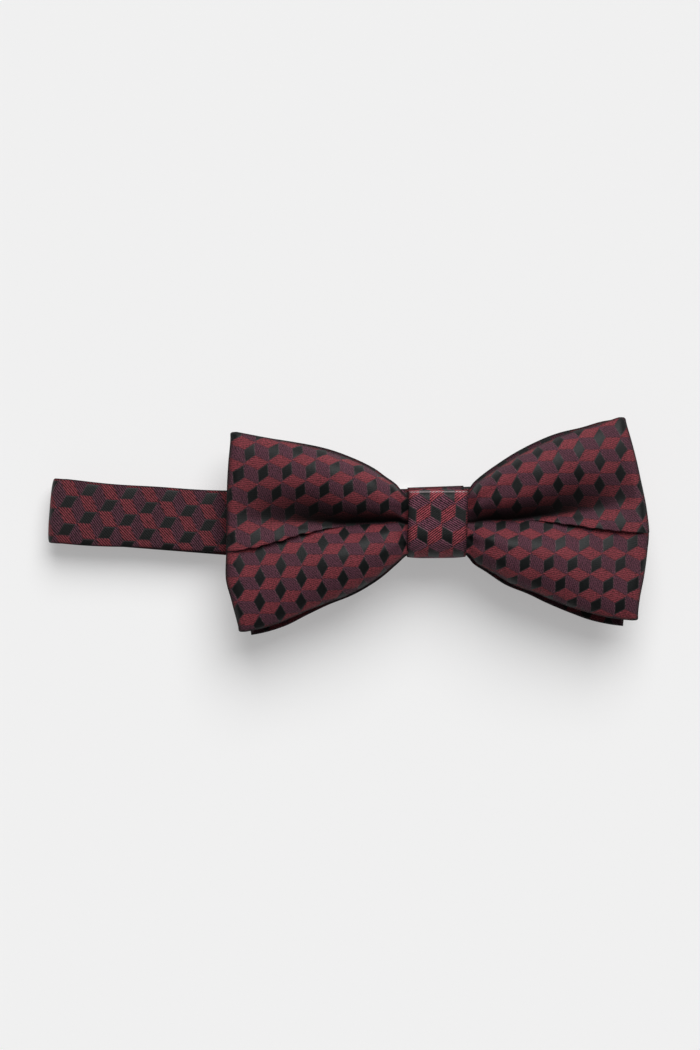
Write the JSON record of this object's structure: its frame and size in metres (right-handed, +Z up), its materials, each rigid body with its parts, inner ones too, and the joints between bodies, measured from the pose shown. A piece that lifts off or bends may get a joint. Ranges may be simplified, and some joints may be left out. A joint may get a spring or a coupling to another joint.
{
  "type": "bow tie",
  "caption": "Ready-tied bow tie in woven block-pattern silk with a wrapped knot, keeper loop and a folded adjustable neck band with slider, hook and eye.",
  "frame": {"origin": "on the resting plane, straight under the middle of the knot", "axes": "+X along the bow towards the side away from the band's folded end, +Y towards the bow's top edge, +Z up through the front of the knot"},
  "size_m": [0.172, 0.0591, 0.0251],
  "materials": {
    "silk": "woven silk jacquard, tumbling blocks in burgundy, plum and black",
    "band_silk": "the same jacquard, cut along the band",
    "interlining": "stiff woven interlining",
    "thread": "dark sewing thread",
    "metal": "nickel-plated steel"
  },
  "bodies": {
    "bow": {"front_bow_fabric": "silk", "front_bow_interlining": "interlining", "rear_bow_fabric": "silk", "rear_bow_interlining": "interlining", "centre_binding_thread": "thread", "knot_wrap": "silk", "knot_interlining": "interlining", "knot_closing_stitches": "thread"},
    "keeper": {"band_keeper": "silk"},
    "band": {"upper_band_cover": "band_silk", "upper_band_interlining": "interlining", "left_fold_cover": "band_silk", "right_fold_cover": "band_silk"},
    "left_tail": {"left_tail_cover": "band_silk", "left_tail_interlining": "interlining"},
    "hook_end": {"hook_turn": "band_silk", "return_band_cover": "band_silk", "return_band_interlining": "interlining"},
    "hook": {"clasp_hook": "metal"},
    "slider": {"slider_frame": "metal", "slider_turn": "band_silk", "slider_bartack": "thread"},
    "right_tail": {"right_tail_cover": "band_silk", "right_tail_interlining": "interlining", "eye_turn": "band_silk", "eye_bartack": "thread"},
    "eye": {"clasp_eye": "metal"}
  },
  "joints": [
    {"name": "keeper_swivel", "type": "hinge", "parent": "bow", "child": "keeper", "pos_m": [0, 0.0012, 0.009], "axis": [0, 0, 1], "range_deg": [-6, 6]},
    {"name": "band_slide", "type": "slide", "parent": "keeper", "child": "band", "axis": [1, 0, 0], "range_m": [-0.015, 0.015]},
    {"name": "left_fold", "type": "hinge", "parent": "band", "child": "left_tail", "pos_m": [-0.107, 0.0074, 0.00647], "axis": [0.1132, 0.9936, 0], "range_deg": [0, 180], "deforming": ["left_fold_cover"]},
    {"name": "right_fold", "type": "hinge", "parent": "band", "child": "right_tail", "pos_m": [0.0528, 0.0012, 0.0049], "axis": [0, -1, 0], "range_deg": [0, 180], "deforming": ["right_fold_cover"]},
    {"name": "hook_slide", "type": "slide", "parent": "left_tail", "child": "hook_end", "axis": [0.9936, -0.1132, 0], "range_m": [-0.025, 0], "deforming": ["left_tail_cover", "left_tail_interlining"]},
    {"name": "slider_slide", "type": "slide", "parent": "hook_end", "child": "slider", "axis": [0.9936, -0.1132, 0], "range_m": [-0.025, 0]},
    {"name": "hook_pivot", "type": "hinge", "parent": "hook_end", "child": "hook", "pos_m": [-0.02801, -0.0016, 0.0049], "axis": [0.1132, 0.9936, 0], "range_deg": [-12, 80]},
    {"name": "eye_pivot", "type": "hinge", "parent": "right_tail", "child": "eye", "pos_m": [-0.00598, 0.0012, 0.0014], "axis": [0, 1, 0], "range_deg": [-80, 40]}
  ],
  "couplings": [
    {"joint": "hook_slide", "follows": "slider_slide", "ratio": 1}
  ]
}
